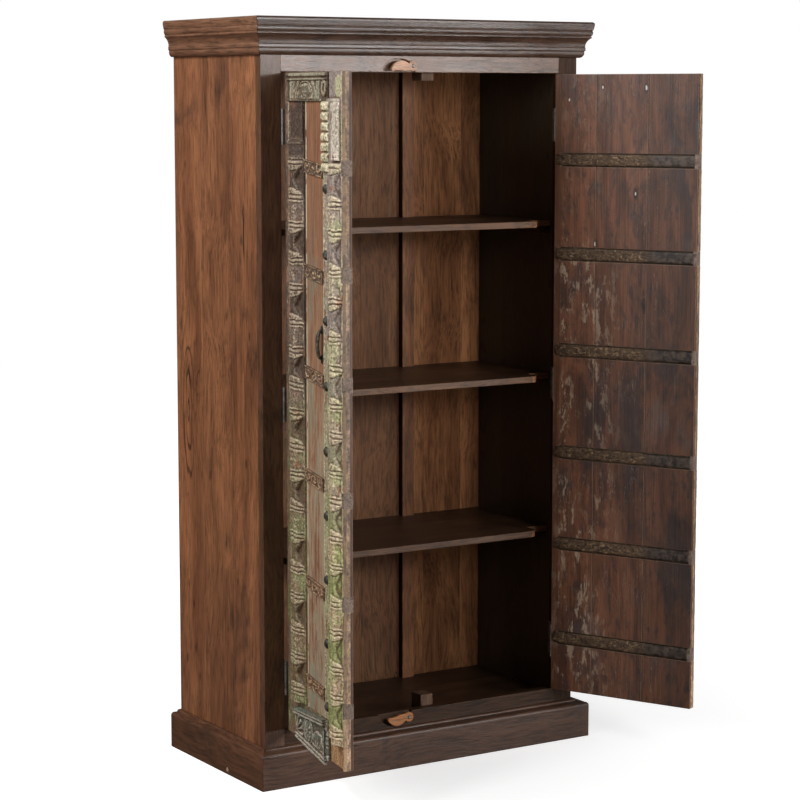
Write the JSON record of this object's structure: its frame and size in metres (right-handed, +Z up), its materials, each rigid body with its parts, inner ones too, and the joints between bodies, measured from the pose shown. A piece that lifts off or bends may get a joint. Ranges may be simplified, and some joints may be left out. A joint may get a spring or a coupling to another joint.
{
  "type": "two-door cabinet",
  "caption": "Tall free-standing wooden cabinet with a moulded cornice and plinth, old carved and painted hinged doors, fixed shelves and wooden turn latches.",
  "frame": {"origin": "middle of the underside of the front plinth board, on the floor", "axes": "+X to the right as one faces the doors, +Y to the back, +Z up"},
  "size_m": [1.0947, 0.8724, 1.9],
  "materials": {
    "case_wood": "waxed satin",
    "trim_wood": "waxed satin",
    "inside_wood": "satin",
    "back_wood": "satin",
    "door_wood": "worn wax",
    "batten_wood": "worn wax",
    "carved_wood": "worn old paint",
    "black_iron": "blackened",
    "hinge_steel": "satin",
    "latch_wood": "bare",
    "plug_wood": "bare"
  },
  "bodies": {
    "case": {"back_mullion_left": "back_wood", "back_mullion_right": "back_wood", "back_panel_centre": "back_wood", "back_panel_left": "back_wood", "back_panel_right": "back_wood", "bottom_rail": "case_wood", "ceiling_board": "inside_wood", "cornice_front": "trim_wood", "cornice_left": "trim_wood", "cornice_right": "trim_wood", "face_stile_left": "case_wood", "face_stile_right": "case_wood", "floor_bearers": "back_wood", "floor_board": "inside_wood", "frame_hinge_leaves": "hinge_steel", "frame_hinge_screws": "hinge_steel", "hinge_pins": "hinge_steel", "latch_fixings": "hinge_steel", "plinth_back": "back_wood", "plinth_front": "trim_wood", "plinth_left": "trim_wood", "plinth_plugs": "plug_wood", "plinth_right": "trim_wood", "shelf_cleats": "inside_wood", "shelf_lower": "inside_wood", "shelf_middle": "inside_wood", "shelf_upper": "inside_wood", "side_panel_left": "case_wood", "side_panel_right": "case_wood", "stop_block_bottom": "inside_wood", "stop_block_top": "inside_wood", "top_board": "case_wood", "top_rail": "case_wood"},
    "door_left": {"door_left_battens": "batten_wood", "door_left_boards": "door_wood", "door_left_centre_panel": "carved_wood", "door_left_crossbars": "carved_wood", "door_left_foot_block": "carved_wood", "door_left_handle": "black_iron", "door_left_head_block": "carved_wood", "door_left_hinge_leaves": "hinge_steel", "door_left_meeting_stile": "carved_wood", "door_left_outer_stile": "carved_wood", "door_left_stud_strip": "carved_wood", "door_left_studs": "black_iron"},
    "door_right": {"door_right_battens": "batten_wood", "door_right_boards": "door_wood", "door_right_centre_panel": "carved_wood", "door_right_crossbars": "carved_wood", "door_right_foot_block": "carved_wood", "door_right_handle": "black_iron", "door_right_head_block": "carved_wood", "door_right_hinge_leaves": "hinge_steel", "door_right_meeting_stile": "carved_wood", "door_right_outer_stile": "carved_wood", "door_right_stud_strip": "carved_wood", "door_right_studs": "black_iron"},
    "latch_top": {"latch_top": "latch_wood"},
    "latch_bottom": {"latch_bottom": "latch_wood"}
  },
  "joints": [
    {"name": "door_left_hinge", "type": "hinge", "parent": "case", "child": "door_left", "pos_m": [-0.412, 0.0165, 0.952], "axis": [0, 0, 1], "range_deg": [-65, 100]},
    {"name": "door_right_hinge", "type": "hinge", "parent": "case", "child": "door_right", "pos_m": [0.412, 0.0165, 0.952], "axis": [0, 0, 1], "range_deg": [-115.5, 49.5]},
    {"name": "latch_top_pivot", "type": "hinge", "parent": "case", "child": "latch_top", "pos_m": [-0.041, 0.0145, 1.784], "axis": [0, 1, 0], "range_deg": [-90, 0]},
    {"name": "latch_bottom_pivot", "type": "hinge", "parent": "case", "child": "latch_bottom", "pos_m": [-0.052, 0.0145, 0.121], "axis": [0, 1, 0], "range_deg": [0, 98]}
  ]
}
